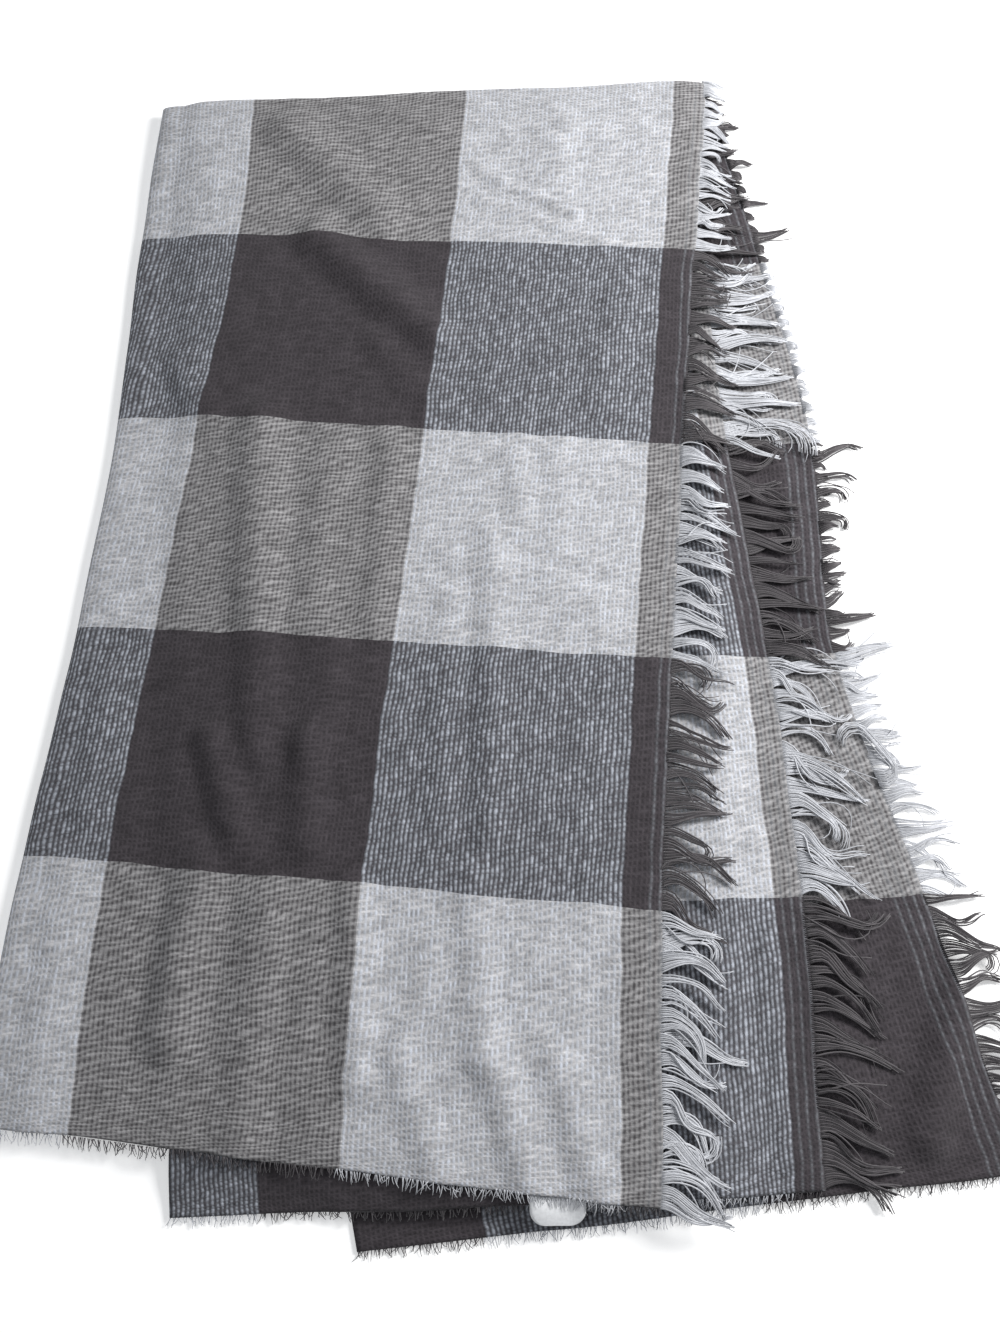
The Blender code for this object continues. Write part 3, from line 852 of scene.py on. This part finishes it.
def fringe_runs(rows, reach_rows, bunches, level, light_first, seed):
    """The strands of one fringe, bunch by bunch up the edge, and then the ones that stand out."""
    draw = random.Random(seed)
    runs = []
    start = 0
    while start < EDGE_STRANDS:
        check = 5 * start // EDGE_STRANDS
        size = min(draw.randint(5, 13), (check + 1) * EDGE_STRANDS // 5 - start)
        light = (check % 2 == 0) == light_first
        reach_x, reach_y = along_rows(reach_rows, (start + size / 2) / EDGE_STRANDS)
        length = math.hypot(reach_x, reach_y) * draw.uniform(0.80, 1.12)
        slant = math.atan2(reach_y, reach_x) + draw.gauss(0.0, 0.22)
        bend = draw.gauss(0.50 - 0.9 * (1.0 - start / EDGE_STRANDS), 0.50)
        hook = draw.uniform(0.8, 2.4) * draw.choice((-1, 1)) if draw.random() < 0.14 else 0.0
        shape = (length, slant, bend, draw.gauss(0.0, 0.30), hook)
        runs += bunch_runs(draw, rows, level, start, size, light, shape)
        start += size
    for place, size, length, slant, bend, hook in bunches:
        light = (int(5 * place) % 2 == 0) == light_first
        first = place * EDGE_STRANDS - size / 2
        runs += bunch_runs(draw, rows, level, first, size, light, (length, slant, bend, 0.0, hook))
    return runs


def on_third_panel(x, y):
    """Just clear of the third panel's top, for the one bunch that is turned back over it."""
    return third_level(x, y) + CLOTH_THICKNESS + STRAND_RADIUS


front_runs = fringe_runs(FRONT_ROWS, FRONT_REACH, FRONT_BUNCHES, front_level, True, 3)
front_fringe = add_yarns("front_fringe_yarns", front_runs, STRAND_RADIUS)
second_runs = fringe_runs(SECOND_ROWS, SECOND_REACH, SECOND_BUNCHES, second_level, False, 5)
second_fringe = add_yarns("second_fringe_yarns", second_runs, STRAND_RADIUS)
third_runs = fringe_runs(THIRD_ROWS, THIRD_REACH, THIRD_BUNCHES, third_level, False, 8)
turned_back = (0.062, 2.2, 0.1, 0.0, 2.3)
turned_back_from = 0.285 * EDGE_STRANDS
third_runs += bunch_runs(
    random.Random(9), THIRD_ROWS, on_third_panel, turned_back_from, 12, True, turned_back
)
third_fringe = add_yarns("third_fringe_yarns", third_runs, STRAND_RADIUS)
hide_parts("front_fringe")
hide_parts("second_fringe")
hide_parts("third_fringe")


# ---------------------------------------------------------------------------------------------
# The short frayed edge: the upright yarns stick out a few millimetres past the raw bottom edge of
# each panel, each one parted into a few strands.
# ---------------------------------------------------------------------------------------------
FIBRE_RADIUS = 0.00026
FIBRE_LENGTH = 0.0045
FIBRES_PER_YARN = 3


def frayed_runs(rows, level, left_checks, first_column, seed):
    draw = random.Random(seed)
    count = int(left_checks * YARNS_PER_CHECK)
    runs = []
    for k in range(count):
        light = ((k + 0.5) / YARNS_PER_CHECK - first_column) % 2.0 < 1.0
        for _ in range(FIBRES_PER_YARN):
            s = 1.0 - (k + draw.uniform(0.1, 0.9)) / count
            root_x, root_y = spot(rows, s, 0.0)
            angle = math.radians(-90.0) + draw.gauss(0.0, 0.35)
            length = FIBRE_LENGTH * draw.uniform(0.5, 1.35)
            bend = draw.gauss(0.0, 0.5)
            points = []
            x, y = root_x, root_y + 0.001
            for step in range(4):
                f = step / 3
                z = level(x, y) + CLOTH_THICKNESS * (0.75 - 0.4 * f) + draw.uniform(-0.0001, 0.0002)
                points.append((x, y, z, 1.0 - 0.5 * f))
                x += math.cos(angle + bend * f) * (length + 0.001) / 3
                y += math.sin(angle + bend * f) * (length + 0.001) / 3
            runs.append((points, light))
    return runs


front_fibres = frayed_runs(FRONT_ROWS, front_level, 2.50, 0.15, 11)
front_frayed = add_yarns("front_frayed_edge", front_fibres, FIBRE_RADIUS)
second_fibres = frayed_runs(SECOND_ROWS, second_level, SECOND_CHECKS, 0.12, 12)
second_frayed = add_yarns("second_frayed_edge", second_fibres, FIBRE_RADIUS)
third_fibres = frayed_runs(THIRD_ROWS, third_level, THIRD_CHECKS, 0.95, 13)
third_frayed = add_yarns("third_frayed_edge", third_fibres, FIBRE_RADIUS)
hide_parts("front_eyelash")
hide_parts("second_eyelash")
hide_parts("third_eyelash")


# ---------------------------------------------------------------------------------------------
# The care label: a blank white satin label sewn under the front panel, whose round lower end
# hangs out past the bottom edge.
# ---------------------------------------------------------------------------------------------
LABEL_WIDTH = 0.028
LABEL_X = 0.0135
LABEL_DROP = 0.0125  # how far it hangs out past the edge
LABEL_TUCK = 0.006  # and how much of it is under the panel
LABEL_CORNER = 0.008
LABEL_CLOTH = 0.0003
LABEL_ACROSS, LABEL_ALONG = 16, 24


def label_place(i, j):
    from_end = (LABEL_DROP + LABEL_TUCK) * (1.0 - math.cos(math.radians(90.0) * j / LABEL_ALONG))
    round_part = max(LABEL_CORNER - from_end, 0.0)
    half = LABEL_WIDTH / 2 - LABEL_CORNER + math.sqrt(LABEL_CORNER**2 - round_part**2)
    x = LABEL_X + half * (2.0 * i / LABEL_ACROSS - 1.0)
    y = spot(FRONT_ROWS, 0.85, 0.0)[1] - 0.001 - LABEL_DROP + from_end
    return Vector((x, y, front_level(x, y) - 0.0006)), (i / LABEL_ACROSS, j / LABEL_ALONG)


satin = Nodes("label_satin")
satin_threads = satin.noise(satin.object_place(), 700.0, 2.0)
satin_white = satin.scaled((0.80, 0.81, 0.83, 1.0), satin.ramp(satin_threads, 0.3, 0.7, 0.94, 1.04))
satin.plug(satin_white, satin.shader.inputs["Base Color"])
satin.shader.inputs["Roughness"].default_value = 0.38
satin.bump(satin_threads, 0.0001, 0.5)
label_bm, label_places = grid_with_places(LABEL_ACROSS, LABEL_ALONG, label_place)
care_label = add_cloth("care_label_satin", label_bm, label_places, satin.material, LABEL_CLOTH)
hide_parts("care_label")
